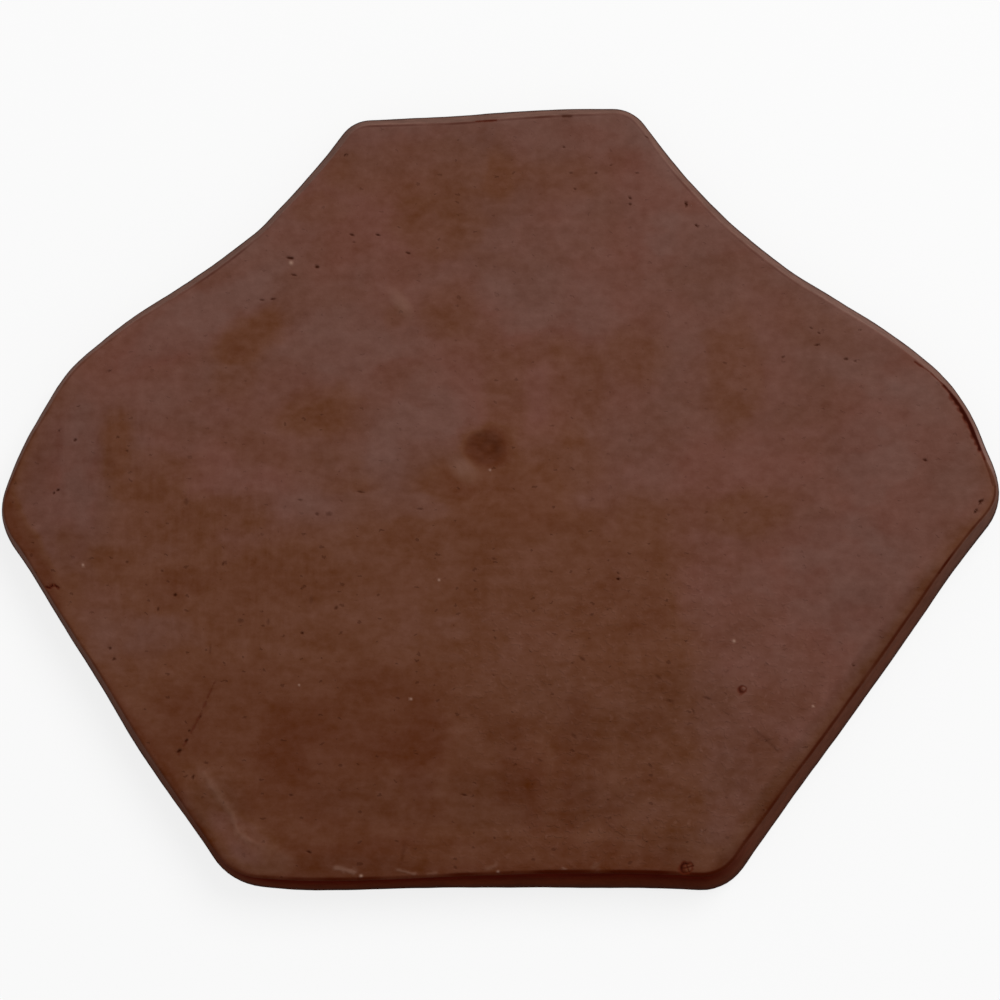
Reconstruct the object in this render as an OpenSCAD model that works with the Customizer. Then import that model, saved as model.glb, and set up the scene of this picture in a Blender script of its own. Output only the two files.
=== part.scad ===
// Hand-made clay tile: a flat slab with a straight neck edge, ogee shoulders and a tapered foot.
// It lies on its base, with +X across the side corners, +Y from foot to neck and +Z up.

/* [Slab] */
// Distance from the foot edge to the middle of the neck edge
tile_l = 307; // [280:1:340]
// Distance between the two side corners, measured before they are rounded
tip_span = 400; // [370:1:430]
// Thickness of the slab
tile_t = 20; // [14:0.5:30]

/* [Straight edges] */
// Length of the neck edge, measured before its corners are rounded
neck_w = 112; // [95:1:135]
// Length of the foot edge, measured before its corners are rounded
foot_w = 197; // [165:1:225]
// Height of the side corners above the foot edge
tip_h = 148.5; // [135:0.5:160]

/* [Ogee shoulders] */
// Slope of the flank where it leaves the neck, in degrees below the horizontal
flank_angle = 56.5; // [53:0.5:60]
// Radius of the hollow curve beside the neck
hollow_r = 248; // [210:1:290]
// Radius of the full curve of the shoulder
shoulder_r = 120; // [100:1:135]

/* [Corners] */
// Radius of the neck corners
neck_r = 15; // [10:1:22]
// Radius of the side corners
tip_r = 28; // [12:1:36]
// Radius of the foot corners
foot_r = 24; // [12:1:36]

/* [Rim] */
// Radius of the upper edge, which is nearly sharp
arris_r = 1; // [0.5:0.5:3]
// Radius of the eased lower edge
base_r = 1.5; // [0.5:0.5:4]
// How far the side walls lean in from the base to the face
wall_lean = 5; // [1:0.5:7]

/* [Hand-made departures] */
// Sideways shift of the neck
neck_shift = -4.5; // [-8:0.5:8]
// Rise of the right end of the neck edge, and fall of its left end
neck_rise = 2; // [-4:0.5:4]
// Rise of the right side corner, and fall of the left one
tip_rise = 6; // [-8:0.5:8]
// Sideways shift of the foot edge
foot_shift = -9; // [-12:0.5:12]

/* [Thumb mark] */
// Width of the thumb mark pressed into the face
thumb_w = 15; // [8:1:24]
// Depth of the thumb mark
thumb_d = 1.2; // [0.4:0.1:2.5]
// Place of the thumb mark, to the right of the middle of the slab
thumb_x = -5; // [-60:1:60]
// Place of the thumb mark, towards the neck from the middle of the slab
thumb_y = 17; // [-60:1:60]

/* [Hidden] */
clay = "#5e3b2e";

// Facets along each arc of one side, from neck to foot: corner, hollow, shoulder, corner, corner
neck_steps = 8;
hollow_steps = 20;
shoulder_steps = 20;
tip_steps = 10;
foot_steps = 8;
// Facets round the upper and lower edges of the rim
arris_steps = 4;
base_steps = 4;
// Facets round the ball that presses the thumb mark
thumb_facets = 120;

// Angle that the side wall leans from upright
lean = atan(wall_lean / tile_t);
// Radius of the ball that leaves a mark of the given width and depth
thumb_r = (pow(thumb_w / 2, 2) + pow(thumb_d, 2)) / (2 * thumb_d);

function unit(v) = v / norm(v);
function left_of(v) = [-v[1], v[0]];
function angle_of(v) = atan2(v[1], v[0]);
function mirrored(v) = [-v[0], v[1]];
function reversed(list) = [for (i = [len(list) - 1 : -1 : 0]) list[i]];
function tail(list) = [for (i = [1 : len(list) - 1]) list[i]];

// Second point where a line through p along d crosses a circle
function line_meets_circle(p, d, centre, r) =
    let (
        along = unit(d),
        from = p - centre,
        back = from * along
    )
    p + along * (sqrt(pow(back, 2) - from * from + pow(r, 2)) - back);

// Point at distance r1 from c1 and r2 from c2, on the right hand going from c1 to c2
function circles_meet(c1, r1, c2, r2) =
    let (
        gap = norm(c2 - c1),
        along = (c2 - c1) / gap,
        reach = (pow(r1, 2) - pow(r2, 2) + pow(gap, 2)) / (2 * gap)
    )
    c1 + along * reach - left_of(along) * sqrt(pow(r1, 2) - pow(reach, 2));

// Points of an arc, each with its outward normal. A full curve runs clockwise, a hollow one the other way
function arc(centre, r, from, to, full, steps) =
    let (sweep = full ? -((from - to + 360) % 360) : (to - from + 360) % 360)
    [for (i = [0 : steps])
        let (
            angle = from + sweep * i / steps,
            ray = [cos(angle), sin(angle)]
        )
        [centre + r * ray, full ? ray : -ray]];

// One side of the outline, drawn as the right-hand one, from the neck edge round to the foot edge:
// arcs that touch without a corner, with one straight wall between the side corner and the foot.
// side is 1 for the right and -1 for the left, so that the departures fall the proper way
function side_outline(side) =
    let (
        neck = [neck_w / 2 + side * neck_shift, tile_l + side * neck_rise],
        tip = [tip_span / 2, tip_h + side * tip_rise],
        foot = [foot_w / 2 + side * foot_shift, 0],
        neck_dir = unit([neck_w, 2 * side * neck_rise]),
        neck_out = left_of(neck_dir),
        wall_dir = unit(foot - tip),
        wall_out = left_of(wall_dir),
        hollow_c = neck + hollow_r * [sin(flank_angle), cos(flank_angle)],
        shoulder_c = circles_meet(hollow_c, hollow_r + shoulder_r, tip, shoulder_r),
        neck_c = line_meets_circle(neck - neck_out * neck_r, -neck_dir, hollow_c, hollow_r + neck_r),
        tip_c = line_meets_circle(tip - wall_out * tip_r, -wall_dir, shoulder_c, shoulder_r - tip_r),
        foot_start = foot - wall_out * foot_r,
        foot_c = foot_start + wall_dir * (foot_r - foot_start[1]) / wall_dir[1]
    )
    concat(
        arc(neck_c, neck_r, angle_of(neck_out), angle_of(hollow_c - neck_c), true, neck_steps),
        tail(arc(hollow_c, hollow_r, angle_of(neck_c - hollow_c), angle_of(shoulder_c - hollow_c),
            false, hollow_steps)),
        tail(arc(shoulder_c, shoulder_r, angle_of(hollow_c - shoulder_c), angle_of(tip_c - shoulder_c),
            true, shoulder_steps)),
        tail(arc(tip_c, tip_r, angle_of(tip_c - shoulder_c), angle_of(wall_out), true, tip_steps)),
        arc(foot_c, foot_r, angle_of(wall_out), -90, true, foot_steps)
    );

right_side = side_outline(1);
left_side = [for (p = reversed(side_outline(-1))) [mirrored(p[0]), mirrored(p[1])]];
drawn = concat(right_side, left_side);

// The outline's box is centred on the origin
xs = [for (p = drawn) p[0][0]];
ys = [for (p = drawn) p[0][1]];
middle = [min(xs) + max(xs), min(ys) + max(ys)] / 2;
outline = [for (p = drawn) [p[0] - middle, p[1]]];

// Rounded edge of the rim section as pairs of inset and height
function rim_arc(r, height, from, to, steps) =
    let (inset = wall_lean * height / tile_t + r / cos(lean))
    [for (i = [0 : steps])
        let (angle = from + (to - from) * i / steps)
        [inset - r * cos(angle), height + r * sin(angle)]];

section = concat(
    rim_arc(base_r, base_r, -90, lean, base_steps),
    rim_arc(arris_r, tile_t - arris_r, lean, 90, arris_steps)
);
// The outline is the slab's at its widest, a little above the base
widest = min([for (step = section) step[0]]);
rim = [for (step = section) [step[0] - widest, step[1]]];

// Slab lofted through the outline, set in and lifted step by step along the rim section
module slab() {
    n = len(outline);
    half = len(right_side);
    levels = len(rim);
    points = [for (step = rim, p = outline)
        [p[0][0] - p[1][0] * step[0], p[0][1] - p[1][1] * step[0], step[1]]];
    walls = [for (level = [0 : levels - 2], i = [0 : n - 1], lower = [true, false])
        let (
            a = level * n + i,
            b = level * n + (i + 1) % n
        )
        lower ? [a, b, a + n] : [b, b + n, a + n]];
    // Each cap is a ladder of triangles from the right side across to the left
    base = [for (i = [0 : half - 2], near = [true, false])
        near ? [i, n - 1 - i, i + 1] : [i + 1, n - 1 - i, n - 2 - i]];
    top = (levels - 1) * n;
    face = [for (tri = base) [top + tri[2], top + tri[1], top + tri[0]]];
    polyhedron(points, concat(walls, base, face));
}

// The tile: the slab with a thumb mark pressed into its face
module tile() {
    color(clay)
        difference() {
            slab();
            translate([thumb_x, thumb_y, tile_t + thumb_r - thumb_d])
                sphere(thumb_r, $fn = thumb_facets);
        }
}

tile();
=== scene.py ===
# Hand-made brown clay tile with ogee shoulders, lying face up on a pale floor
import math
import bmesh
import bpy
from mathutils import Euler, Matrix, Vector, noise


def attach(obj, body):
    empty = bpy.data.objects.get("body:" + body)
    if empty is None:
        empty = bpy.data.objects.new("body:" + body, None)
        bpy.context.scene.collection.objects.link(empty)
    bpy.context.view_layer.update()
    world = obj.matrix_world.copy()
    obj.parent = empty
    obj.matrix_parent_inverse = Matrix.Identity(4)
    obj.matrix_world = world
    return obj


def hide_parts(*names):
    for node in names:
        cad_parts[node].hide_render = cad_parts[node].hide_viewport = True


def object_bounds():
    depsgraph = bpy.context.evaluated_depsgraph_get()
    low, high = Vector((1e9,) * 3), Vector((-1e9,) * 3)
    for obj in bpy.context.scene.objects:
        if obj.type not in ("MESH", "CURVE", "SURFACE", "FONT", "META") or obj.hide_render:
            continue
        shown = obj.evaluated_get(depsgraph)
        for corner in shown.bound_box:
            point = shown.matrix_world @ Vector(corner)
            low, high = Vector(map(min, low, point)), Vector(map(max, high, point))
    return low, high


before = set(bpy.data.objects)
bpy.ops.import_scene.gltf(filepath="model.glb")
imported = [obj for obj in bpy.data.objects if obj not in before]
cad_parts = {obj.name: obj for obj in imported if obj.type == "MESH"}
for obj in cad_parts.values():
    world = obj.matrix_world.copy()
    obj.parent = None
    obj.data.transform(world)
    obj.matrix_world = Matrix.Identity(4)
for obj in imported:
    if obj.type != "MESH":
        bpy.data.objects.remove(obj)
cadLow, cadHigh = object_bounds()
scene = bpy.context.scene
mm = 0.001
faceZ = cadHigh.z
thick = faceZ / mm  # of the tile, in mm
print("frame loaded, box", [round(v, 4) for v in cadLow], [round(v, 4) for v in cadHigh])


# camera
viewSettings = {
    "place": (0.0155, -0.0722, 1.1879),  # metres
    "turn": (3.404, 0.756, 0.126),       # degrees about X, Y and Z
    "lens": 108.0,                       # mm
    "sensor": 36.0,                      # mm
    "frame": 1000,                       # pixels along each side of the picture
    "farthest": 20.0,                    # metres that the camera sees
}
eye = Vector(viewSettings["place"])
eyeTurn = Euler([math.radians(a) for a in viewSettings["turn"]], "XYZ").to_matrix()


def makeCamera():
    data = bpy.data.cameras.new("camera")
    data.lens = viewSettings["lens"]
    data.sensor_width = viewSettings["sensor"]
    data.clip_end = viewSettings["farthest"]
    camera = bpy.data.objects.new("camera", data)
    camera.location = eye
    camera.rotation_euler = eyeTurn.to_euler("XYZ")
    scene.collection.objects.link(camera)
    scene.camera = camera


def onLevel(px, py, level=faceZ):
    # where the line of sight through a pixel meets a level plane, by default the tile's face, in mm
    half = viewSettings["frame"] / 2
    step = viewSettings["sensor"] / viewSettings["lens"] / viewSettings["frame"]
    ray = eyeTurn @ Vector(((px - half) * step, (half - py) * step, -1))
    hit = eye + ray * ((level - eye.z) / ray.z)
    return hit.x / mm, hit.y / mm


makeCamera()
print("camera placed")


# node sheets: sums on sockets are written as Python sums
class Wire:
    def __init__(self, sheet, out):
        self.sheet = sheet
        self.out = out

    def sums(self, kind, *terms):
        return self.sheet.node("Math", {"operation": kind}, dict(enumerate(terms)))

    def __add__(self, other):
        return self.sums("ADD", self, other)

    def __radd__(self, other):
        return self.sums("ADD", other, self)

    def __sub__(self, other):
        return self.sums("SUBTRACT", self, other)

    def __rsub__(self, other):
        return self.sums("SUBTRACT", other, self)

    def __mul__(self, other):
        return self.sums("MULTIPLY", self, other)

    def __rmul__(self, other):
        return self.sums("MULTIPLY", other, self)

    def larger(self, other):
        return self.sums("MAXIMUM", self, other)


class Sheet:
    def __init__(self, tree):
        self.tree = tree
        self.tree.nodes.clear()

    def node(self, kind, settings=None, inputs=None, out=0):
        made = self.tree.nodes.new("ShaderNode" + kind)
        for key, value in (settings or {}).items():
            setattr(made, key, value)
        for key, value in (inputs or {}).items():
            if isinstance(value, Wire):
                self.tree.links.new(value.out, made.inputs[key])
            else:
                made.inputs[key].default_value = value
        return None if out is None else Wire(self, made.outputs[out])

    def seen(self):
        # 1 on rays that show the background: straight to the camera, mirrored or through glass
        kinds = ("Camera", "Glossy", "Transmission")
        straight, mirrored, through = [self.node("LightPath", out=f"Is {kind} Ray") for kind in kinds]
        return straight.larger(mirrored).larger(through)

    def ramp(self, value, low, high):
        # 0 below low, 1 above high, eased between
        return self.node("MapRange", {"interpolation_type": "SMOOTHSTEP"}, {0: value, 1: low, 2: high})

    def share(self, value, low, high):
        # 0 below low, 1 above high, straight between
        return self.node("MapRange", {}, {0: value, 1: low, 2: high})

    def mix(self, amount, first, second):
        return self.node("Mix", {"data_type": "RGBA"}, {0: amount, 6: first, 7: second}, 2)

    def times(self, vector, amount):
        # a colour or a place, times a number
        return self.node("VectorMath", {"operation": "SCALE"}, {0: vector, 3: amount})

    def addTimes(self, vector, amount, start):
        # a vector times an amount, added to the start
        return self.node("VectorMath", {"operation": "MULTIPLY_ADD"}, {0: vector, 1: amount, 2: start})

    def attribute(self, name):
        return self.node("Attribute", {"attribute_name": name}, out=2)

    def cells(self, place, stretch):
        # a place counted in cells as large in mm as stretch says, along X, Y and Z
        counted = self.node("VectorMath", {"operation": "DIVIDE"}, {0: place, 1: stretch})
        return {"Vector": counted, "Scale": 1.0}

    def grain(self, place, stretch, detail, rough):
        # noise with lumps as large as the cells
        cells = self.cells(place, stretch)
        return self.node("TexNoise", {}, {**cells, "Detail": detail, "Roughness": rough})

    def specks(self, place, stretch, largest, fade=0.07):
        # scattered specks, the largest as a share of its cell, with about half of the cells empty
        cells = self.cells(place, stretch)
        away, kind = [self.node("TexVoronoi", {"voronoi_dimensions": "2D"}, cells, out)
                      for out in ("Distance", "Color")]
        chance = self.node("SeparateXYZ", {}, {0: kind})
        return self.ramp((chance - 0.5) * 2 * largest - away, 0, fade)


def screen(red, green, blue):
    # screen colour of 0 to 255 as a linear one
    def linear(c):
        c /= 255
        return c / 12.92 if c <= 0.04045 else ((c + 0.055) / 1.055) ** 2.4
    return linear(red), linear(green), linear(blue), 1.0


# floor, lights and backdrop
stageSettings = {
    "floorSide": 8.0,                    # metres
    "floorColour": (0.9, 0.9, 0.9, 1),
    "floorGlow": 0.8,                    # how far the floor is lifted to white where it is seen
    "backdrop": (1, 1, 1, 1),
    "sky": 0.45,                         # strength of the even light
    "keyPlace": (1.2, 1.7, 2.4),         # metres
    "keySide": 2.0,                      # metres
    "keyPower": 62.0,                    # watts
}


def makeStage():
    bm = bmesh.new()
    bmesh.ops.create_grid(bm, x_segments=2, y_segments=2, size=stageSettings["floorSide"] / 2)
    mesh = bpy.data.meshes.new("floor")
    bm.to_mesh(mesh)
    bm.free()
    floor = bpy.data.objects.new("floor", mesh)
    scene.collection.objects.link(floor)
    material = bpy.data.materials.new("paleFloor")
    material.use_nodes = True
    sheet = Sheet(material.node_tree)
    lit = sheet.node("BsdfDiffuse", {}, {"Color": stageSettings["floorColour"]})
    glow = sheet.node("Emission", {}, {"Color": stageSettings["backdrop"], "Strength": 1.0})
    shown = sheet.node("MixShader", {}, {0: sheet.seen() * stageSettings["floorGlow"], 1: lit, 2: glow})
    sheet.node("OutputMaterial", {}, {"Surface": shown}, None)
    mesh.materials.append(material)

    world = bpy.data.worlds.new("studio")
    scene.world = world
    world.use_nodes = True
    sheet = Sheet(world.node_tree)
    strength = stageSettings["sky"] + (1 - stageSettings["sky"]) * sheet.seen()
    sky = sheet.node("Background", {}, {"Color": stageSettings["backdrop"], "Strength": strength})
    sheet.node("OutputWorld", {}, {"Surface": sky}, None)

    data = bpy.data.lights.new("key", "AREA")
    data.shape = "DISK"
    data.size = stageSettings["keySide"]
    data.energy = stageSettings["keyPower"]
    key = bpy.data.objects.new("key", data)
    key.location = stageSettings["keyPlace"]
    key.rotation_euler = (-key.location).to_track_quat("-Z", "Y").to_euler()
    scene.collection.objects.link(key)


makeStage()
scene.view_settings.view_transform = "Standard"
print("floor and lights set")


# the tile's own shape
tileSettings = {
    "cut": 1.6,                          # mm between the cuts across the face
    "wallCut": 2.0,                      # mm between the cuts up the side walls
    "wallStart": 3.0,                    # mm above the base where those begin
    "edgeDepth": 1.5,                    # mm below the face that still count as its edge
    "rings": (0.3, 0.3, 0.3, 0.4, 0.6, 0.9, 1.3, 1.6, 1.8),  # mm steps of the rings inside the rim
    "merge": 1e-6,                       # metres within which the corners of the CAD mesh are one
    "flat": 0.003,                       # radians within which faces of the CAD mesh are one
    "levelFace": 0.9,                    # Z of its normal from which a face counts as level
    "wallFace": 0.3,                     # and up to which it counts as a wall
    "base": 0.05,                        # mm up to which a corner lies on the base
    "waves": ((95, 0.28), (27, 0.09)),   # length and height of the waves in the face, mm
    "wobble": ((19, 0.16), (7, 0.07)),   # length and reach of the wobble of the outline, mm
    "wallRough": ((9, 0.14), (3.2, 0.07)),  # length and height of the lumps on the walls, mm
    "wallEase": (4, 2),                  # mm over which they come in, up from the base and down from the edge
    "wallStop": 0.3,                     # mm below the edge where they stop
    "drawnIn": 0.0045,                   # share by which the face is drawn in on all sides
    "drawnEase": 1.5,                    # power by which that grows from base to face
    "lineDepth": 0.15,                   # mm that the line at the upper edge is pressed in
    "linePlace": -0.05,                  # mm inside the rim where it runs, a minus being below it
    "lineWidth": (0.38, 0.3),            # mm to each side of it, and how much more above a dark wall
    "lineTone": (0.5, 0.75),             # tone of the wall at which it starts to widen and is widest
    "lineClear": (0.85, 0.5, 11),        # how clear it is, how much that varies, and over how many mm
    "browning": (0.75, 1.6, 0.35),       # at the edge, mm that it fades over, and what is left over all rings
}
# how the marks are made
markSettings = {
    "cuts": 3,                           # cuts in each edge beside a mark
    "bubbleCuts": 2,                     # cuts after those in each edge at a bubble
    "shortest": 0.55,                    # mm: the first cuts leave out edges up to this long
    "room": 1.5,                         # mm round a pit, grain or bubble that are cut finer
    "scoreRoom": 1.2,                    # mm to each side of a score that are cut finer
    "thumbRoom": 1.1,                    # how much of the thumb mark is cut finer, in its own half sizes
    "bubbleRoom": 1.8,                   # and of a bubble after that
    "fade": 7,                           # mm down the wall over which marks at the edge fade out
    "skin": (0.12, 3.5, 0.9),            # height, length and width of the skin lines in the thumb mark, mm
    "thumbDark": (0.31, 0.8, 3, 1.3),    # painted shade in the thumb mark's hollow: how dark it is, how much that varies, over which length and width
    "raisedHighlight": {"thumbLip": 0.16, "bump": 0.18},  # how light the painted highlights on the raised marks are
    "pitRag": (0.25, 1 / 1.3),           # how far pits are ragged, and the length of the rags in mm
    "pitReach": (6, 1.5),                # how far a pit is felt, in mm and in its own half sizes
    "pitFloor": 0.85,                    # how wide the floor of a pit is, as a share of its width
    "darkPit": 0.45,                     # mm of depth at which the painted shade in a pit is as dark as can be
    "grainReach": 3,                     # mm
    "bubbleTurn": 20,                    # degrees
    "bubbleRag": (0.2, 1.5),             # how far bubbles are ragged, and the length of the rags in mm
    "bubbleReach": 2,                    # how far a bubble is felt, in its own half sizes
    "bubbleRing": 0.85,                  # where its ring runs, in the same
    "ringWidth": (0.8, 0.4),             # share of the ring's width at its flanks, and how much more or less
    "ringDepth": (0.75, 0.25),           # the same for its depth
    "redBubble": 0.65,                   # mm of depth at which a bubble is as red as can be
    "scoreReach": 5,                     # mm to each side
    "scoreRag": 1.7,                     # length of the rags of scores, mm
    "thinnest": 0.15,                    # what the rags leave of a score's width at least
    "patchEdge": (6, 0.3),               # a patch fades out over this many mm and this share of its size
    "patchRag": ((0.7, 0.26), (0.22, 0.12)),  # length and reach of its rags, as shares of its size
    "patchReach": 1.4,                   # how far they go at most, in its own half sizes
}
# where each noise starts, so that no two are alike
seeds = {
    "waves": 1.3, "wobbleX": 3.1, "wobbleY": 8.7, "walls": 5.5,
    "skin": 1, "thumbDark": 5, "bubbles": 6, "edgeLine": 4,
}

# Marks are placed by their pixel in the picture.
# soft marks: pixel, half length and half width in mm, turn in degrees, depth in mm (minus is raised)
softMarks = {
    "thumb": (486, 447, 8.6, 7.2, -25, 1.15),
    "thumbLip": (464, 470, 8.0, 5.0, -42, -0.35),
    "bump": (401, 303, 8.0, 3.6, -54, -0.55),
    "bumpFoot": (392, 318, 6.0, 3.2, -54, 0.2),
}
# pits: pixel, length and width in mm, turn in degrees, depth in mm
pits = (
    (346, 155, 2.0, 1.1, 20, 0.4), (352, 235, 2.2, 1.0, -20, 0.4), (354, 242, 1.2, 0.7, 10, 0.3),
    (378, 235, 2.2, 0.9, -10, 0.4), (317, 267, 2.0, 1.4, 0, 0.55), (408, 253, 2.4, 0.9, -15, 0.4),
    (571, 173, 1.6, 0.8, 0, 0.3), (596, 173, 1.6, 0.8, 20, 0.3), (575, 189, 1.4, 0.9, -30, 0.3),
    (564, 147, 1.2, 0.8, 0, 0.3), (611, 165, 1.4, 0.7, 30, 0.3), (637, 173, 1.5, 0.8, 0, 0.3),
    (630, 198, 1.8, 1.0, -30, 0.4), (630, 204, 1.4, 1.0, 10, 0.4), (686, 204, 2.0, 1.2, -40, 0.45),
    (696, 225, 2.0, 1.0, -40, 0.4), (817, 345, 2.4, 0.9, 15, 0.35), (846, 359, 2.0, 1.0, 0, 0.4),
    (855, 361, 1.4, 0.8, 20, 0.3), (811, 328, 1.8, 0.8, -25, 0.3), (819, 333, 1.6, 0.8, -25, 0.3),
    (860, 330, 1.4, 0.8, 0, 0.3), (783, 357, 1.8, 0.8, 30, 0.3), (925, 460, 2.0, 1.2, -20, 0.4),
    (981, 501, 2.4, 1.1, 20, 0.55), (976, 511, 2.0, 1.2, 60, 0.6), (75, 440, 1.8, 1.2, 40, 0.4),
    (78, 406, 1.6, 0.8, 20, 0.3), (59, 431, 1.4, 0.8, 60, 0.3), (54, 493, 1.5, 1.0, 60, 0.55),
    (58, 490, 1.8, 1.0, 30, 0.55), (109, 371, 1.6, 0.8, 30, 0.3), (118, 437, 1.4, 0.8, 0, 0.3),
    (127, 451, 1.4, 0.8, 0, 0.3), (179, 751, 2.8, 1.4, 30, 0.55), (114, 659, 2.0, 1.2, 20, 0.4),
    (854, 664, 2.0, 1.4, 30, 0.4), (193, 777, 2.2, 1.0, 60, 0.4), (290, 258, 3.4, 1.2, -8, 0.5),
    (294, 275, 3.0, 0.8, -10, 0.35), (273, 299, 3.0, 0.8, 5, 0.35), (262, 300, 2.4, 0.8, -5, 0.3),
    (647, 137, 3.0, 0.8, -30, 0.3), (361, 492, 3.2, 0.8, -8, 0.3), (300, 500, 2.4, 0.8, 0, 0.25),
    (420, 509, 2.8, 0.8, 0, 0.3), (206, 763, 2.2, 0.8, -10, 0.3), (291, 795, 1.6, 1.0, 0, 0.35),
    (309, 852, 2.4, 1.0, -20, 0.4), (223, 564, 1.8, 1.1, 60, 0.3), (494, 559, 2.6, 0.8, -15, 0.25),
    (464, 795, 3.0, 0.9, -10, 0.35), (186, 741, 2.2, 1.0, 50, 0.5), (189, 731, 1.4, 0.8, 50, 0.4),
    (200, 717, 1.6, 0.7, 60, 0.35), (175, 595, 1.6, 1.2, 30, 0.6), (110, 648, 1.4, 1.0, 0, 0.35),
    (302, 633, 1.6, 1.2, 0, 0.4), (158, 609, 2.0, 1.0, 80, 0.3), (162, 571, 1.2, 0.9, 0, 0.3),
    (127, 562, 1.4, 0.9, 20, 0.3), (336, 608, 2.0, 1.2, 40, 0.3), (618, 579, 1.6, 1.2, 0, 0.5),
    (618, 573, 1.6, 0.8, -30, 0.3),
    # shallow smudges and dents
    (186, 502, 3.0, 2.2, 80, 0.16), (240, 621, 3.2, 2.0, 0, 0.2), (329, 514, 3.0, 2.0, 0, 0.2),
    (317, 514, 1.8, 1.4, 0, 0.25), (268, 622, 3.0, 1.4, 80, 0.16), (210, 650, 4.5, 0.9, 85, 0.16),
    (311, 600, 4.0, 1.8, 85, 0.13), (707, 698, 4.0, 1.3, -20, 0.22), (693, 711, 3.0, 0.9, -65, 0.18),
    (582, 659, 3.5, 1.3, -35, 0.22), (670, 701, 4.5, 1.3, -10, 0.16), (574, 736, 4.0, 1.4, -45, 0.18),
    (658, 677, 3.5, 1.4, -40, 0.16), (540, 760, 3.0, 1.2, -30, 0.14), (403, 853, 9.0, 1.8, 80, 0.1),
)
# light grains: pixel, width and height in mm. Most are light specks of the clay; the ones at (490, 470) and
# (291, 263), on the lips of the thumb mark and of a pit, are painted highlights
grains = (
    (734, 641, 1.1, 0.25), (411, 699, 0.9, 0.2), (439, 580, 0.9, 0.2), (813, 706, 0.7, 0.2),
    (299, 685, 0.7, 0.2), (83, 565, 0.9, 0.2), (498, 872, 1.0, 0.2), (291, 263, 1.4, 0.3),
    (490, 470, 0.8, 0.2), (563, 869, 1.0, 0.2), (361, 876, 1.2, 0.2),
)
# burst bubbles: pixel, half length and half width of the ring, its own width and its depth in mm,
# and its thickest side in degrees
bubbles = (
    (743, 689, 1.5, 1.25, 0.9, 0.45, 215), (687, 868, 2.6, 2.2, 1.1, 0.5, 160),
    (641, 836, 1.3, 0.8, 0.5, 0.15, 200),
)
# scores and scuffs: pixels, width and depth in mm, how ragged, and how dark, red or light they are; their
# dark is painted shade in the groove, their light is scuffed and scraped wear
scores = (
    # the red crack at the right corner, and its thin ends
    {"line": ((952, 394), (960, 405), (970, 423), (976, 437), (981, 448)),
     "wide": 1.4, "deep": 0.9, "rag": 0.6, "red": 1.0},
    {"line": ((944, 385), (953, 395)), "wide": 0.7, "deep": 0.5, "rag": 0.5, "red": 0.8},
    {"line": ((981, 448), (985, 459)), "wide": 0.8, "deep": 0.5, "rag": 0.5, "red": 0.6},
    {"line": ((915, 362), (930, 372), (946, 387)),
     "wide": 0.35, "deep": 0.3, "rag": 0.9, "dark": 0.3, "red": 0.5},
    {"line": ((984, 459), (990, 475), (993, 486)),
     "wide": 0.35, "deep": 0.3, "rag": 0.9, "dark": 0.3, "red": 0.3},
    # hooked crack at the left edge
    {"line": ((46, 587), (50, 588), (53, 585), (56, 586), (58, 588)),
     "wide": 0.5, "deep": 0.5, "rag": 0.6, "dark": 0.3, "red": 0.75},
    # dent on the right, scratch and scuff on the left
    {"line": ((755, 731), (767, 741), (779, 752)), "wide": 0.8, "deep": 0.12, "rag": 0.6, "dark": 0.25},
    {"line": ((214, 683), (205, 704), (195, 725), (179, 754)),
     "wide": 0.4, "deep": 0.2, "rag": 2.6, "dark": 0.3, "red": 0.3},
    {"line": ((204, 772), (211, 786), (222, 800), (232, 814), (238, 832), (250, 841)),
     "wide": 1.4, "deep": -0.25, "rag": 0.9, "light": 0.12},
    {"line": ((250, 841), (266, 848), (287, 856)), "wide": 1.6, "deep": -0.15, "rag": 0.9, "light": 0.06},
    # strokes across the bubble at the foot
    {"line": ((682, 869), (693, 866)), "wide": 0.4, "deep": 0.3, "rag": 0.3, "red": 0.6},
    {"line": ((686, 864), (689, 872)), "wide": 0.35, "deep": 0.3, "rag": 0.3, "red": 0.55},
    # scraped places along the foot
    {"line": ((355, 872), (336, 868)), "wide": 0.9, "deep": -0.15, "rag": 1.2, "light": 0.24},
    {"line": ((414, 874), (398, 870)), "wide": 0.7, "deep": -0.15, "rag": 1.2, "light": 0.2},
    {"line": ((436, 873), (428, 874)), "wide": 0.6, "deep": -0.15, "rag": 0.8, "light": 0.14},
    {"line": ((592, 868), (598, 864)), "wide": 0.9, "deep": -0.15, "rag": 0.8, "light": 0.12},
    {"line": ((488, 869), (496, 865)), "wide": 0.9, "deep": -0.15, "rag": 0.8, "light": 0.12},
    # dashes in the line at the neck
    {"line": ((476, 121), (496, 120)), "wide": 0.5, "deep": 0.3, "rag": 0.6, "red": 0.7},
    {"line": ((563, 116), (571, 116)), "wide": 0.6, "deep": 0.3, "rag": 0.4, "dark": 0.7},
)
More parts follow.
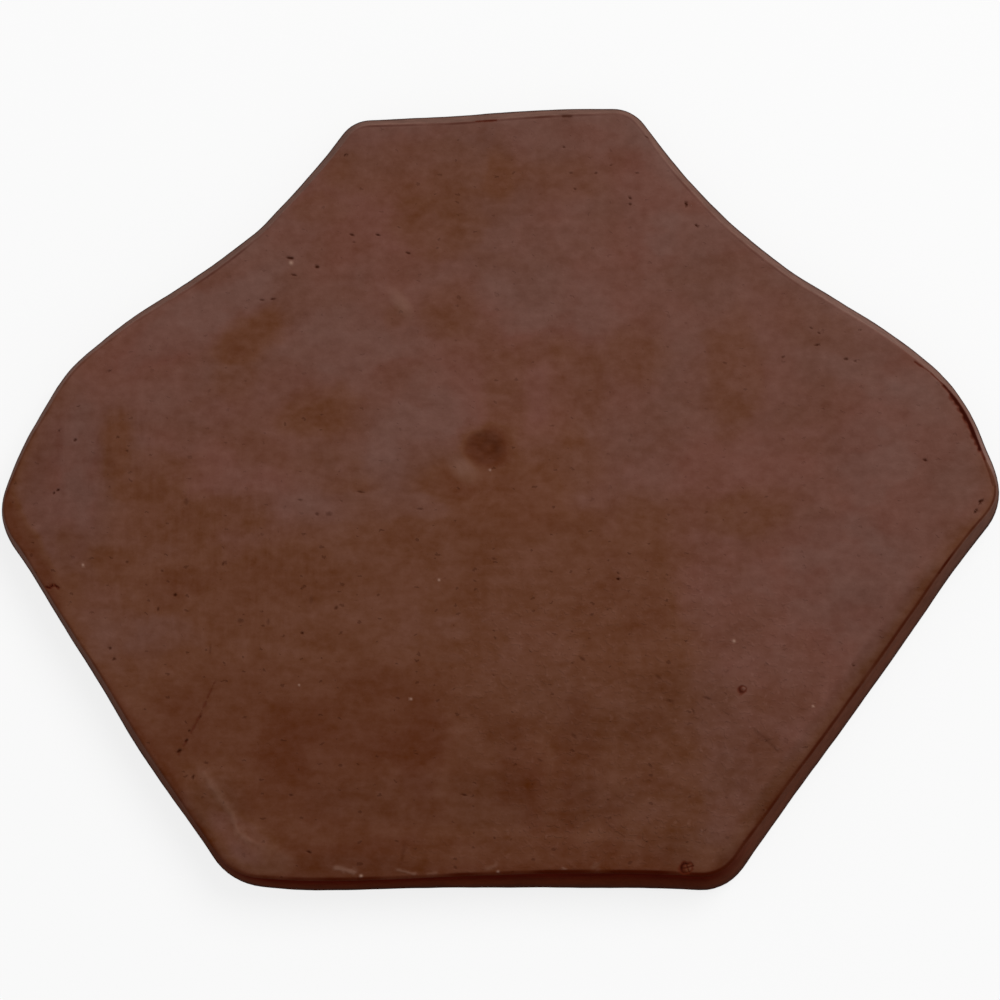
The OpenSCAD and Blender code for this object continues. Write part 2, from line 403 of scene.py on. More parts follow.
# patches: pixel, half sizes in pixels, turn in degrees, amount.
# where the clay is browner, or paler with a minus, the paler places being partly painted sheen
tints = (
    # the brown lower half, deepest towards the foot
    (105, 600, 35, 45, 0, 0.17), (400, 695, 285, 195, 0, 0.32), (160, 545, 60, 62, 0, 0.25),
    (645, 570, 40, 75, 0, 0.14), (230, 765, 85, 85, 0, 0.07), (335, 790, 95, 80, 0, 0.2),
    (295, 715, 150, 55, 0, 0.14), (420, 745, 26, 45, 0, 0.18), (185, 725, 25, 35, 0, 0.08),
    (325, 805, 30, 24, 0, 0.1), (520, 785, 22, 60, 0, 0.18), (550, 805, 26, 50, 0, 0.18),
    (578, 765, 20, 65, 0, 0.17), (602, 815, 20, 40, 0, 0.12), (470, 760, 60, 60, 0, 0.1),
    (735, 770, 45, 95, 0, 0.12), (790, 690, 30, 55, 0, 0.04), (250, 590, 45, 35, 0, 0.05),
    (480, 864, 260, 22, 0, 0.2), (330, 866, 90, 14, 0, 0.03), (590, 580, 40, 35, 0, 0.06),
    (655, 820, 50, 45, 0, 0.25), (400, 680, 60, 25, 0, 0.08), (690, 665, 25, 35, 0, 0.1),
    (665, 740, 35, 60, 0, 0.1), (688, 770, 18, 30, 0, 0.1), (565, 520, 50, 14, 0, 0.1),
    (550, 700, 30, 24, 0, 0.06), (350, 502, 30, 18, 0, 0.08), (215, 540, 25, 18, 0, 0.06),
    (650, 850, 80, 18, 0, 0.12),
    # its upper fringe, which rises to the thumb mark
    (486, 447, 22, 18, -25, 0.7), (530, 465, 70, 38, 0, 0.18), (505, 400, 22, 50, 0, 0.2),
    (150, 475, 55, 26, 0, 0.2), (335, 475, 45, 22, 0, 0.1), (450, 482, 30, 20, 0, 0.14),
    (225, 513, 45, 18, 0, 0.2), (630, 548, 32, 26, 0, 0.06), (750, 512, 38, 24, 15, 0.22),
    (660, 512, 60, 20, 0, 0.1),
    # stains in the upper half
    (425, 170, 95, 34, 0, 0.2), (500, 172, 14, 34, 0, 0.18), (440, 228, 45, 28, 0, 0.22),
    (320, 208, 30, 14, 0, 0.14), (250, 335, 36, 22, 30, 0.34), (235, 375, 22, 28, 0, 0.16),
    (318, 412, 42, 24, 15, 0.25), (290, 440, 80, 32, 0, 0.1), (117, 440, 14, 30, -8, 0.34),
    (545, 350, 35, 18, 0, 0.12), (575, 385, 28, 50, 0, 0.16), (635, 355, 35, 28, 0, 0.18),
    (735, 375, 28, 60, 0, 0.2), (570, 180, 40, 20, 0, 0.14), (450, 310, 25, 24, 0, 0.17),
    (470, 340, 30, 20, 0, 0.1), (395, 318, 10, 12, 0, 0.2), (820, 330, 50, 20, -20, 0.1),
    # the left corner
    (75, 510, 25, 30, 0, -0.06), (24, 545, 15, 60, 27, 0.5), (60, 585, 20, 28, 0, 0.22),
    (80, 455, 22, 45, 0, -0.12), (66, 535, 12, 14, 0, 0.2),
    # paler, greyer places: painted sheen over the clay's own paler tone, and at the lip of the thumb mark
    # (464, 470) its painted highlight
    (550, 305, 60, 40, 0, -0.13), (355, 340, 60, 32, 0, -0.12), (200, 320, 85, 24, 30, -0.17),
    (650, 190, 30, 80, 0, -0.1), (600, 130, 60, 22, 0, -0.1), (430, 415, 40, 30, 0, -0.12),
    (385, 460, 20, 35, 0, -0.14), (464, 470, 14, 10, -40, -0.3), (900, 470, 60, 90, 0, -0.13),
    (840, 580, 70, 60, 0, -0.12), (870, 365, 70, 25, -30, -0.1), (270, 822, 30, 20, 0, -0.1),
    (310, 380, 26, 20, 0, -0.07), (250, 845, 46, 20, -35, -0.24), (690, 240, 40, 30, 0, -0.08),
    (150, 635, 45, 20, 0, -0.16), (206, 795, 22, 36, 35, -0.12), (370, 505, 90, 16, 0, -0.12),
    (470, 640, 90, 30, 0, -0.05),
)
# where the strokes of the smoothing brush run up and down
uprights = (
    (215, 570, 110, 90, 0, 1.0), (100, 450, 70, 60, 0, 0.9), (600, 430, 60, 90, 0, 0.5),
    (700, 560, 70, 60, 0, 0.4),
)
# where the face is gritty
grits = (
    (650, 700, 190, 150, 0, 1.0), (560, 850, 160, 40, 0, 0.6),
)
# painted shade: where the face is darker without being browner, or painted light where it is lighter with a
# minus
shades = (
    (842, 700, 195, 13, 54, 0.14), (215, 805, 30, 24, 0, 0.12), (330, 868, 95, 12, 0, 0.08),
    (480, 800, 170, 26, 0, 0.06), (700, 850, 40, 22, 0, 0.08), (850, 560, 60, 50, 0, 0.05),
    (530, 470, 75, 60, 0, -0.06), (865, 455, 40, 40, 0, 0.05), (190, 815, 65, 9, -52, 0.1),
    (30, 460, 30, 40, 0, 0.05), (760, 760, 45, 45, 0, 0.06), (600, 705, 130, 40, 0, 0.04),
    (415, 148, 85, 26, 0, 0.07), (860, 635, 35, 50, 0, 0.07), (675, 770, 110, 85, 0, 0.06),
    (68, 490, 40, 85, 0, 0.09), (245, 862, 40, 14, 0, 0.08), (790, 680, 32, 45, 0, 0.04),
    (790, 785, 26, 26, 0, -0.06), (510, 140, 26, 20, 0, 0.06), (490, 790, 40, 60, 0, 0.04),
    (550, 700, 30, 24, 0, 0.04),
)

# how the outline departs from its drawn curve: pixel on the rim, mm outwards, and mm that it reaches
outlinePushes = (
    (995, 510, 0.4, 8), (946, 580, -0.6, 14), (790, 800, -0.6, 15), (717, 886, 1.2, 12),
    (320, 889, 1.4, 22), (215, 858, -1.3, 14), (140, 748, 1.0, 14), (30, 570, -0.8, 13), (2, 510, 0.7, 9),
    (69, 370, 1.2, 10), (165, 295, 1.2, 17), (360, 126, -0.5, 16), (530, 110, 0.8, 18),
    (661, 148, 0.4, 10), (892, 335, -0.7, 11), (945, 382, 0.8, 12), (989, 459, -1.8, 9),
    (742, 863, -0.8, 9), (247, 879, -0.6, 8), (43, 410, -0.4, 12), (258, 229, -0.6, 5),
    (797, 277, -0.3, 5), (822, 292, 0.5, 8), (447, 116, -0.4, 22), (590, 109, 0.4, 14),
)
# the same for the upper edge alone
edgePushes = (
    (600, 871, -1.9, 42), (395, 877, 0.5, 22), (209, 841, 1.4, 20), (126, 717, 0.8, 30),
    (70, 628, 1.0, 22), (470, 120, -0.7, 24), (684, 185, 0.4, 12), (905, 630, -0.2, 40),
    (820, 757, -0.2, 40), (966, 414, 0.7, 14), (700, 872, -0.4, 20), (994, 490, 1.8, 8),
    (648, 132, 0.9, 9), (6, 512, 1.3, 10), (28, 445, 1.0, 18), (32, 572, 1.3, 14), (74, 364, 0.9, 11),
    (115, 332, 0.5, 14),
)
# round the tile from the right-hand corner, in degrees: how clear the line at the upper edge is, a pressed
# groove with painted shade in it
edgeLine = (
    (0, 0.6), (8, 0.1), (20, 0.2), (30, 0.2), (38, 0.45), (58, 0.45), (66, 0.3), (76, 0.35), (84, 0.5),
    (108, 0.5), (114, 0.2), (132, 0.2), (138, 0.5), (145, 0.5), (150, 0.3), (195, 0.4), (232, 0.45),
    (242, 0.7), (262, 0.8), (298, 0.9), (306, 0.75), (354, 0.7), (360, 0.6),
)
# how dark the wall is: 0 pale, 1/3 grey, 2/3 brown, 1 dark. This is light and shade painted round the tile
# over the walls' own brown: pale and grey with painted light and reflection where the walls face the light,
# dark with painted shade at the foot, which faces away
wallShadeTone = (
    (0, 0.45), (2, 0.3), (3, 0.1), (6, 0.12), (9, 0.25), (12, 0.3), (22, 0.22), (36, 0.26), (54, 0.31),
    (68, 0.31), (108, 0.32), (118, 0.25), (132, 0.28), (150, 0.32), (165, 0.22), (182, 0.25), (202, 0.4),
    (226, 0.6), (234, 0.8), (241, 1.0), (296, 1.0), (301, 0.85), (308, 0.68), (346, 0.62), (354, 0.5),
    (360, 0.4),
)
# and how brown the face is beside its edge
edgeBrown = (
    (0, 0.4), (6, 0.05), (25, -0.1), (130, -0.1), (155, 0), (172, 0.2), (182, 0.6), (190, 0.6),
    (195, 0.35), (205, 0.35), (212, 0.6), (224, 0.6), (232, 0.6), (245, 0.7), (296, 0.6), (305, 0.75),
    (345, 0.7), (354, 0.5), (360, 0.4),
)
pixelSize = 0.396   # mm of the face in one pixel
outlineHeight = 2   # mm above the base at which the tile is widest


class Spot:
    # an oval on the face: how far a point is from its middle, in its own half sizes
    def __init__(self, px, py, halfLong, halfWide, turn):
        self.x, self.y = onLevel(px, py)
        self.halfLong = halfLong
        self.halfWide = halfWide
        self.reach = max(halfLong, halfWide)
        self.cos = math.cos(math.radians(turn))
        self.sin = math.sin(math.radians(turn))

    def near(self, x, y, room):
        return abs(x - self.x) < room and abs(y - self.y) < room

    def away(self, x, y):
        dx = x - self.x
        dy = y - self.y
        along = dx * self.cos + dy * self.sin
        across = dy * self.cos - dx * self.sin
        return math.hypot(along / self.halfLong, across / self.halfWide)


class Score:
    # a line on the face: how far a point is from it, in mm, if that is within its reach
    reach = 6

    def __init__(self, pixels):
        self.points = [Vector(onLevel(*pixel)) for pixel in pixels]
        self.low = [min(p[i] for p in self.points) - self.reach for i in (0, 1)]
        self.high = [max(p[i] for p in self.points) + self.reach for i in (0, 1)]

    def away(self, x, y):
        best = math.inf
        if not (self.low[0] < x < self.high[0] and self.low[1] < y < self.high[1]):
            return best
        here = Vector((x, y))
        for start, end in zip(self.points, self.points[1:]):
            way = end - start
            share = min(1, max(0, (here - start).dot(way) / way.dot(way)))
            best = min(best, (here - start - way * share).length)
        return best


def patches(rows):
    return [(Spot(px, py, w * pixelSize, h * pixelSize, turn), amount) for px, py, w, h, turn, amount in rows]


softSpots = {name: (Spot(*row[:5]), row[5]) for name, row in softMarks.items()}
pitSpots = [(Spot(px, py, long / 2, wide / 2, turn), deep) for px, py, long, wide, turn, deep in pits]
grainSpots = [(Spot(px, py, wide / 2, wide / 2, 0), high) for px, py, wide, high in grains]
bubbleSpots = [(Spot(px, py, long, wide, markSettings["bubbleTurn"]), band / long, deep, math.radians(side))
               for px, py, long, wide, band, deep, side in bubbles]
smallSpots = [row[0] for row in pitSpots + grainSpots + bubbleSpots]
scoreLines = [(Score(s["line"]), s) for s in scores]
outlineField = [(*onLevel(px, py, outlineHeight * mm), out, reach) for px, py, out, reach in outlinePushes]
edgeField = [(*onLevel(px, py), out, reach) for px, py, out, reach in edgePushes]
patchSpots = {
    "browning": patches(tints),
    "upright": patches(uprights),
    "grit": patches(grits),
    "shade": patches(shades),
}
# the marks' layers: mark is painted shade in pits, scores, dents and the thumb hollow; light is painted
# highlight with real scraped wear; line is painted shade along the crease at the upper edge; tone is light
# and shade painted on the walls over their own brown
markLayers = ("mark", "red", "light", "line", "tone")


def pushed(x, y, field):
    # how far the pushes move a point outwards, in mm
    return sum(out * math.exp(-((x - px) ** 2 + (y - py) ** 2) / (2 * reach * reach))
               for px, py, out, reach in field)


def ripple(x, y, long, wide, seed):
    # noise from -1 to 1, with lumps of the given size along X and Y
    return noise.noise(Vector((x / long, y / wide, seed)))


def lumps(x, y, z, sizes, seed=0.0):
    # sum of soft noises of the given lengths and heights, in mm
    return sum(high * noise.noise(Vector((x / long + seed, y / long - seed, z / long)))
               for long, high in sizes)


def roundTile(x, y, stops):
    # a value that is given by its stops round the tile
    angle = math.degrees(math.atan2(y, x)) % 360
    for (a, first), (b, second) in zip(stops, stops[1:]):
        if a <= angle <= b:
            return first + (second - first) * (angle - a) / (b - a)


def nearMark(x, y):
    if any(spot.near(x, y, spot.reach + markSettings["room"]) for spot in smallSpots):
        return True
    if any(line.away(x, y) < s["wide"] + markSettings["scoreRoom"] for line, s in scoreLines):
        return True
    return softSpots["thumb"][0].away(x, y) < markSettings["thumbRoom"]


def nearBubble(x, y):
    return any(row[0].away(x, y) < markSettings["bubbleRoom"] for row in bubbleSpots)


def broadMesh():
    # the CAD tile's mesh, made into broad faces. Its thumb mark is left out, to be pressed again softly later
    bm = bmesh.new()
    bm.from_mesh(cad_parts["tile"].data)
    bmesh.ops.remove_doubles(bm, verts=bm.verts, dist=tileSettings["merge"])
    bm.normal_update()
    level = tileSettings["levelFace"]
    face = [f for f in bm.faces if f.normal.z > level and f.calc_center_median().z > faceZ / 2]
    arris = set(v for f in bm.faces if abs(f.normal.z) < level for v in f.verts)
    for f in face:
        for v in f.verts:
            if v not in arris:
                v.co.z = faceZ
    inner = [f for f in face if all(abs(v.co.z - faceZ) < tileSettings["merge"] / 10 for v in f.verts)]
    bmesh.ops.dissolve_faces(bm, faces=inner, use_verts=False)
    bmesh.ops.dissolve_limit(bm, angle_limit=tileSettings["flat"], verts=bm.verts, edges=bm.edges)
    bm.normal_update()
    return bm


def sliceFaces(bm, faces, axis, start, end, step):
    # cuts the faces by planes across an axis, and goes on with those beyond each plane
    normal = Vector([1.0 if i == axis else 0.0 for i in range(3)])
    place = start
    while place < end:
        parts = dict.fromkeys(faces)
        for f in faces:
            parts.update(dict.fromkeys(f.edges))
            parts.update(dict.fromkeys(f.verts))
        cut = bmesh.ops.bisect_plane(bm, geom=list(parts), dist=tileSettings["merge"] / 100,
                                     plane_co=normal * place, plane_no=normal)
        faces = [g for g in cut["geom"] if isinstance(g, bmesh.types.BMFace)
                 and g.calc_center_median()[axis] > place]
        place += step


def cutEdges(bm, wanted, shortest, cuts):
    # cuts the edges on the face that are long enough and whose middle is wanted
    low = faceZ - tileSettings["edgeDepth"] * mm
    chosen = []
    for e in bm.edges:
        a, b = e.verts[0].co, e.verts[1].co
        if min(a.z, b.z) > low and (a - b).length > shortest * mm:
            if wanted((a.x + b.x) / 2 / mm, (a.y + b.y) / 2 / mm):
                chosen.append(e)
    bmesh.ops.subdivide_edges(bm, edges=chosen, cuts=cuts, use_grid_fill=True)


def cutTile():
    # the broad mesh, ringed inside its rim and sliced finely, most of all at the marks
    bm = broadMesh()
    depth = bm.verts.layers.float.new("rimDepth")
    for v in bm.verts:
        v[depth] = (v.co.z - faceZ) / mm  # below the face: how far down, as a minus
    face = max(bm.faces, key=lambda f: f.normal.z * f.calc_area())
    base = min(bm.faces, key=lambda f: f.normal.z * f.calc_area())
    inside = 0
    for step in tileSettings["rings"]:
        bmesh.ops.inset_region(bm, faces=[face], thickness=step * mm, use_even_offset=True, use_boundary=True)
        inside += step
        for v in face.verts:
            v[depth] = inside

    cut = tileSettings["cut"] * mm
    walls = [f for f in bm.faces if abs(f.normal.z) < tileSettings["wallFace"]]
    wallEnd = faceZ - tileSettings["edgeDepth"] * mm
    sliceFaces(bm, walls, 2, tileSettings["wallStart"] * mm, wallEnd, tileSettings["wallCut"] * mm)
    for axis in (0, 1):
        upper = [f for f in bm.faces if f is not base]
        sliceFaces(bm, upper, axis, cadLow[axis] + cut / 2, cadHigh[axis], cut)
    print("tile sliced,", len(bm.faces), "faces")

    cutEdges(bm, nearMark, markSettings["shortest"], markSettings["cuts"])
    cutEdges(bm, nearBubble, 0, markSettings["bubbleCuts"])
    bm.normal_update()
    print("marks cut finer,", len(bm.faces), "faces")
    return bm


def markAt(x, y):
    # what the marks on the face do at a point: lift in mm, then how dark, red and light they make it. The
    # dark is painted shade in pits, scores, dents and the thumb hollow; the light is painted highlight on the
    # raised marks and some grains, and real scraped wear
    lift = dark = redness = lightness = 0
    for spot, deep in softSpots.values():
        away = spot.away(x, y)
        if away < 1:
            lift -= deep * (1 - away * away) ** 2
    away = softSpots["thumb"][0].away(x, y)
    if away < 1:
        high, long, wide = markSettings["skin"]
        lift += high * (1 - away) * ripple(x, y, long, wide, seeds["skin"])
        # painted shade in the thumb mark's hollow
        amount, varies, long, wide = markSettings["thumbDark"]
        dark = amount * (1 - away ** 4) * (1 + varies * ripple(x, y, long, wide, seeds["thumbDark"]))
    # painted highlights on the thumb mark's lip and on the bump
    for name, amount in markSettings["raisedHighlight"].items():
        away = softSpots[name][0].away(x, y)
        if away < 1:
            lightness = max(lightness, amount * (1 - away * away))

    rag, long = markSettings["pitRag"]
    reach, farthest = markSettings["pitReach"]
    # pits are pressed in and given painted shade that grows with their depth
    for spot, deep in pitSpots:
        if spot.near(x, y, reach):
            away = spot.away(x, y) + rag * ripple(x, y, long, long, deep)
            if away < farthest:
                amount = math.exp(-(away / markSettings["pitFloor"]) ** 4)
                lift -= deep * amount
                dark = max(dark, amount * min(1, deep / markSettings["darkPit"]))
    for spot, tall in grainSpots:
        if spot.near(x, y, markSettings["grainReach"]):
            amount = math.exp(-spot.away(x, y) ** 2)
            lift += tall * amount
            lightness = max(lightness, amount)
    rag, long = markSettings["bubbleRag"]
    mean, varies = markSettings["ringWidth"]
    deepMean, deepVaries = markSettings["ringDepth"]
    for spot, band, deep, side in bubbleSpots:
        away = spot.away(x, y) + rag * ripple(x, y, long, long, seeds["bubbles"])
        if away < markSettings["bubbleReach"]:
            turned = math.cos(math.atan2(y - spot.y, x - spot.x) - side)
            off = (away - markSettings["bubbleRing"]) / (band * (mean + varies * turned))
            amount = math.exp(-off ** 2) * (deepMean + deepVaries * turned)
            lift -= deep * amount
            redness = max(redness, amount * min(1, deep / markSettings["redBubble"]))
    long = markSettings["scoreRag"]
    for line, s in scoreLines:
        away = line.away(x, y)
        if away < markSettings["scoreReach"]:
            ragged = max(markSettings["thinnest"], 1 + s["rag"] * ripple(x, y, long, long, s["wide"]))
            amount = math.exp(-(away / (s["wide"] * ragged)) ** 2)
            lift -= s["deep"] * amount
            dark = max(dark, s.get("dark", 0) * amount)
            redness = max(redness, s.get("red", 0) * amount)
            lightness = max(lightness, s.get("light", 0) * amount)
    return lift, dark, redness, lightness


def patchAt(x, y, spots):
    # sum of the patches at a point, each fading out at its ragged outline
    least, part = markSettings["patchEdge"]
    total = 0
    for spot, amount in spots:
        size = math.sqrt(spot.halfLong * spot.halfWide)
        edge = least + part * size
        if spot.near(x, y, spot.reach * (markSettings["patchReach"] + edge / size)):
            away = spot.away(x, y) + lumps(x / size, y / size, spot.x, markSettings["patchRag"])
            soft = min(1, max(0, (1 - away) * size / edge + 0.5))
            total += amount * soft * soft * (3 - 2 * soft)
    return total


def pressMarks(bm):
    layers = bm.verts.layers.float
    depth = layers["rimDepth"]
    mark, red, light, line, tone = [layers.new(name) for name in markLayers]
    patchLayers = {name: layers.new(name) for name in patchSpots}
    wobble = tileSettings["wobble"]
    baseEase, edgeEase = tileSettings["wallEase"]
    narrow, wider = tileSettings["lineWidth"]
    paler, darker = tileSettings["lineTone"]
    clear, varies, long = tileSettings["lineClear"]
    atEdge, fade, overRings = tileSettings["browning"]
    for v in bm.verts:
        x, y, z = v.co / mm
        rim = v[depth]
        onBase = z < tileSettings["base"]
        # the outline wanders, the face is drawn in and the walls are rough
        rise = max(0, z / thick) ** tileSettings["drawnEase"]
        out = pushed(x, y, outlineField) + pushed(x, y, edgeField) * rise
        flat = Vector((x, y, 0))
        shift = flat.normalized() * out - flat * tileSettings["drawnIn"] * rise
        sway = [lumps(x, y, 0, wobble, seeds[name]) for name in ("wobbleX", "wobbleY")]
        shift += Vector((*sway, 0))
        # the light and shade painted on the walls round the tile
        v[tone] = roundTile(x, y, wallShadeTone)
        if rim < -tileSettings["wallStop"] and not onBase:
            rough = lumps(x, y, z, tileSettings["wallRough"], seeds["walls"])
            shift += v.normal * rough * min(1, z / baseEase, -rim / edgeEase)
        v.co += shift * mm
        if onBase:
            continue
        x, y = v.co.x / mm, v.co.y / mm
        high = lumps(x, y, 0, tileSettings["waves"], seeds["waves"]) * z / thick
        if rim > -markSettings["fade"]:
            left = min(1, 1 + rim / markSettings["fade"])
            lift, v[mark], v[red], v[light] = [value * left for value in markAt(x, y)]
            # the line at the upper edge: a groove pressed in, darkened later as painted shade
            clearness = clear + varies * ripple(x, y, long, long, seeds["edgeLine"])
            pressed = roundTile(x, y, edgeLine) * clearness
            darkness = (v[tone] - paler) / (darker - paler)
            wide = narrow + wider * max(0, min(1, darkness))
            v[line] = max(0, pressed) * math.exp(-((rim - tileSettings["linePlace"]) / wide) ** 2)
            high += lift - tileSettings["lineDepth"] * v[line]
        v.co.z += high * mm
        for name, spots in patchSpots.items():
            v[patchLayers[name]] = patchAt(x, y, spots)
        inside = max(0, rim)
        beside = atEdge * math.exp(-inside / fade) + overRings * (1 - inside / sum(tileSettings["rings"]))
        v[patchLayers["browning"]] += roundTile(x, y, edgeBrown) * beside


# colours of the clay and of its walls, and how the noises change them
claySettings = {
    # pale and haze are greyed by painted sheen over the clay's own colour
    "pale": screen(107, 75, 66),
    "haze": screen(103, 68, 57),
    "pink": screen(107, 67, 56),
    "brown": screen(99, 60, 42),
    "deep": screen(88, 47, 29),
    # pit: colour of the painted shade in pits and marks, and of the dark specks
    "pit": screen(52, 18, 4),
    # light: colour of the painted highlights on the raised marks and grains, and of scraped wear
    "light": screen(154, 120, 104),
    # painted shade in the crease at the upper edge
    "creaseShade": screen(58, 15, 3),
    "creaseShadeFrom": (0.05, 0.9),           # strength of the line at which its painted shade starts and is full
    "crackEdge": screen(82, 30, 14),
    "crackEdgeFrom": (0.05, 0.45, 0.75),  # redness at which it starts and is full, and how much of it then
    "crack": screen(42, 6, 2),
    "crackFrom": (0.35, 0.85, 0.9),
    "base": 0.28,                        # where plain clay lies on the scale of browning
    "scale": (0.0, 0.25, 0.6, 1.0),      # where pale, plain, brown and deep lie on it
    "stain": 0.35,                       # browning that counts as a full stain
    "clouds": (0.4, 0.65),               # level of the cloud noise where haze turns pink
    "wipes": (0.46, 0.54),               # level of the wiped noise where wiped places start
    "strokes": (0.25, 0.45, 0.8),        # strokes across plain clay, how much more on stains, upright ones
    "sheen": (0.087, 0.052, 0.045),      # what the lighter grains add to red, green and blue
    "paler": {"mottle": 0.12, "wiped": 0.06, "strokes": 0.1},
    "lighter": {"fine": 0.18, "medium": 0.2, "blotch": 0.55, "mottle": 0.4, "wiped": 0.06, "strokes": 0.35},
    "calm": (0.3, 0.5, 0.95),            # how much calmer deep brown is, and its browning from and to
    "chips": 0.2,                        # how light the chips in gritty clay are, partly painted highlights on the grit
    "dashes": (0.12, 0.3),               # how dark the dashes are on plain clay, and how much more on stains
    "dots": 0.15,                        # how dark the dots are
    "roughness": 0.55,
    "rougher": {"mottle": 0.2, "strokes": 0.15},
    "markRougher": 0.3,
    "bareRoughness": 0.9,                # of walls and marks
    "specular": 0.03,
    "higher": {"fine": 0.03, "strokes": 0.05, "mottle": 0.1},  # mm
    "grit": (0.55, 0.68),                # level of the medium noise where lumps of grit start
    "gritAmount": (0.15, 0.85),          # on plain clay, and how much more on gritty clay
    "gritHeight": 0.12,                  # mm
    "dashDepth": 0.1,                    # mm
    "dotDepth": 0.06,                    # mm
}
wallSettings = {
    # wall colours from pale to dark: pale and grey carry painted light and reflection, dark carries painted
    # shade, over the walls' own brown
    "colours": (screen(133, 103, 94), screen(108, 78, 68), screen(91, 53, 40), screen(78, 33, 19)),
    "streaks": 0.25,                     # how much their tone varies along the walls
    "streakLight": 0.6,                  # and how light they are
    "top": screen(68, 17, 8),            # upper part of the dark walls: painted shade under the edge, with the walls' own red
    "topFrom": (8, 19),                  # mm above the base where it starts and is full
    "topTone": (0.7, 0.95),              # tone of the walls that have it
    "foot": screen(54, 38, 33),          # lowest part of the walls: painted shade beside the floor
    "footTo": (1.5, 9),                  # mm above the base where it thins out and ends
    "footAmount": (0.95, 0.25),          # how much of it on pale walls, and how much less on brown ones
    "footTone": (0.4, 0.65),             # tone between the two
    "edge": (-0.8, 0),                   # mm at the rim between wall and face
}
# noises of the clay: size of the lumps along X, Y and Z in mm, detail and roughness
clayGrains = {
    "fine": ((1.1, 0.9, 0.9), 2, 0.5),
    "medium": ((2.4, 2.0, 2), 1, 0.5),
    "blotch": ((4.6, 3.6, 4), 2, 0.45),
    "mottle": ((14, 11, 8), 2, 0.45),
    "cloud": ((46, 40, 40), 3, 0.5),
    "wiped": ((30, 21, 20), 3, 0.5),
    "across": ((17, 3.0, 9), 3, 0.6),
    "upright": ((2.2, 15, 9), 3, 0.6),
    "along": ((26, 26, 1.3), 2, 0.5),    # along the walls
}
# specks: size of their cells in mm, and of the largest as a share of its cell
claySpecks = {
    "dashes": ((7.5, 4.5, 4), 0.15),
    "dots": ((3.4, 3.0, 3), 0.10),
    "chips": ((5.0, 6.0, 4), 0.16),
}
speckBend = {"Scale": 0.5, "Detail": 2.0}  # noise that bends the rows of cells
speckReach = (3.0, 3.0, 0)                 # mm that it moves them


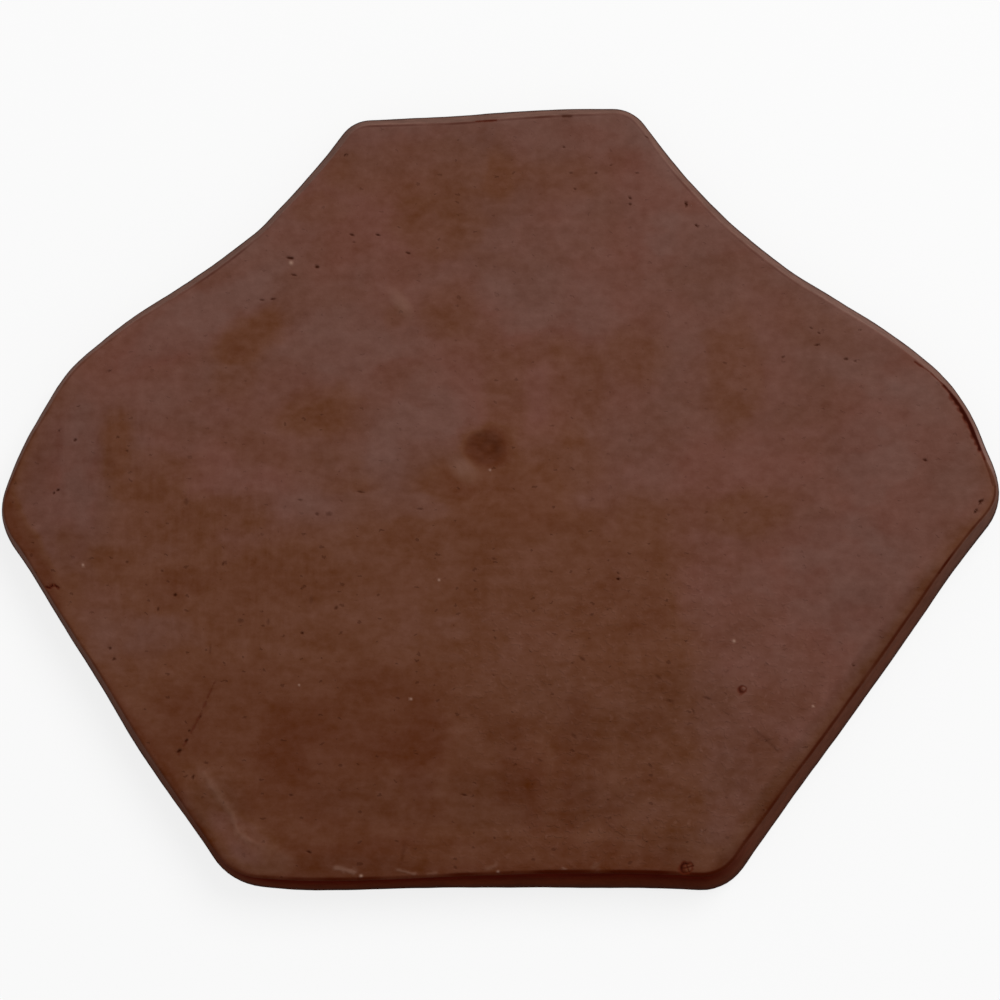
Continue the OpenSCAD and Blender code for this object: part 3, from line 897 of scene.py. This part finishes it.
def makeClay():
    material = bpy.data.materials.new("clay")
    material.use_nodes = True
    sheet = Sheet(material.node_tree)
    place = sheet.times(sheet.node("TexCoord", out="Object"), 1 / mm)
    noises = {name: sheet.grain(place, *row) for name, row in clayGrains.items()}
    swing = {name: value - 0.5 for name, value in noises.items()}
    swing["wiped"] = sheet.ramp(noises["wiped"], *claySettings["wipes"]) - 0.5
    bend = sheet.node("TexNoise", {}, {"Vector": place, **speckBend}, "Color")
    bent = sheet.addTimes(bend, speckReach, place)
    dashes, dots, chips = [sheet.specks(bent, *row) for row in claySpecks.values()]
    browning, brushed, gritty, shade = [sheet.attribute(name) for name in patchSpots]
    mark, red, light, line, tone = [sheet.attribute(name) for name in markLayers]
    rim = sheet.attribute("rimDepth")

    stained = sheet.share(browning, 0, claySettings["stain"])
    plain, onStains, upright = claySettings["strokes"]
    strokes = swing["across"] * (plain + onStains * stained) * (1 - brushed)
    swing["strokes"] = strokes + swing["upright"] * brushed * upright

    def blend(name):
        # the noises about 0, each by the amount that is set under the name
        return sum(swing[kind] * amount for kind, amount in claySettings[name].items())

    # one scale from pale bloom over plain clay and brown to the deepest brown
    browning = claySettings["base"] + browning - blend("paler")
    stops = claySettings["scale"]
    pinkAmount = sheet.share(noises["cloud"], *claySettings["clouds"])
    colour = sheet.mix(pinkAmount, claySettings["haze"], claySettings["pink"])
    colour = sheet.mix(sheet.share(browning, stops[0], stops[1]), claySettings["pale"], colour)
    colour = sheet.mix(sheet.share(browning, stops[1], stops[2]), colour, claySettings["brown"])
    colour = sheet.mix(sheet.share(browning, stops[2], stops[3]), colour, claySettings["deep"])
    # lighter and darker grains, calmer in the deepest brown
    calmer, low, high = claySettings["calm"]
    level = blend("lighter") + chips * gritty * claySettings["chips"]
    level = level * (1 - calmer * sheet.share(browning, low, high))
    # the shade patches darken the colour as painted shade, then the grains add their grey
    colour = sheet.addTimes(claySettings["sheen"], level, sheet.times(colour, 1 - shade))
    plain, onStains = claySettings["dashes"]
    speckAmount = dashes * (plain + onStains * stained) + dots * claySettings["dots"]
    colour = sheet.mix(speckAmount, colour, claySettings["pit"])

    # side walls, from the pale ones at the neck, with painted light and reflection, to the dark ones at the
    # foot, with painted shade, over the walls' own brown
    wall, *others = wallSettings["colours"]
    streaked = tone + swing["along"] * wallSettings["streaks"]
    for i, darker in enumerate(others):
        wall = sheet.mix(sheet.share(streaked, i / len(others), (i + 1) / len(others)), wall, darker)
    height = sheet.node("SeparateXYZ", {}, {0: place}, "Z")
    # painted shade under the edge of the dark walls and low down beside the floor
    topAmount = sheet.ramp(height, *wallSettings["topFrom"]) * sheet.share(tone, *wallSettings["topTone"])
    wall = sheet.mix(topAmount, wall, wallSettings["top"])
    most, less = wallSettings["footAmount"]
    footAmount = most - less * sheet.share(tone, *wallSettings["footTone"])
    footAmount = footAmount * (1 - sheet.ramp(height, *wallSettings["footTo"]))
    wall = sheet.mix(footAmount, wall, wallSettings["foot"])
    wall = sheet.times(wall, 1 + level + swing["along"] * wallSettings["streakLight"])
    wallAmount = 1 - sheet.ramp(rim, *wallSettings["edge"])
    colour = sheet.mix(wallAmount, colour, wall)

    # painted highlights on raised marks and grains, and scraped wear
    colour = sheet.mix(light, colour, claySettings["light"])
    # painted shade in the crease at the upper edge
    colour = sheet.mix(sheet.ramp(line, *claySettings["creaseShadeFrom"]), colour, claySettings["creaseShade"])
    # painted shade in pits, scores, dents and the thumb hollow
    colour = sheet.mix(mark, colour, claySettings["pit"])
    for name in ("crackEdge", "crack"):
        low, high, most = claySettings[name + "From"]
        colour = sheet.mix(sheet.ramp(red, low, high) * most, colour, claySettings[name])

    rough = claySettings["roughness"] + blend("rougher") + mark * claySettings["markRougher"]
    plain, more = claySettings["gritAmount"]
    gritLumps = sheet.ramp(noises["medium"], *claySettings["grit"]) * (plain + more * gritty)
    relief = blend("higher") + gritLumps * claySettings["gritHeight"]
    relief = relief - dashes * claySettings["dashDepth"] - dots * claySettings["dotDepth"]
    bump = sheet.node("Bump", {}, {"Strength": 1.0, "Distance": mm, "Height": relief})
    finish = {"Base Color": colour, "Normal": bump}
    skin = sheet.node("BsdfPrincipled", {}, {
        **finish, "Roughness": rough, "Specular IOR Level": claySettings["specular"],
    })
    bare = sheet.node("BsdfPrincipled", {}, {
        **finish, "Roughness": claySettings["bareRoughness"], "Specular IOR Level": 0.0,
    })
    bareAmount = wallAmount.larger(line).larger(mark).larger(red)
    clay = sheet.node("MixShader", {}, {0: bareAmount, 1: skin, 2: bare})
    sheet.node("OutputMaterial", {}, {"Surface": clay}, None)
    return material


def makeTile():
    bm = cutTile()
    pressMarks(bm)
    for f in bm.faces:
        f.smooth = f.normal.z > -tileSettings["levelFace"]  # all but the base
    mesh = bpy.data.meshes.new("clayTile")
    bm.to_mesh(mesh)
    bm.free()
    tile = bpy.data.objects.new("clayTile", mesh)
    scene.collection.objects.link(tile)
    mesh.materials.append(makeClay())
    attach(tile, "root")
    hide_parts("tile")
    mesh.calc_loop_triangles()
    print("tile made,", len(mesh.loop_triangles), "triangles")


makeTile()
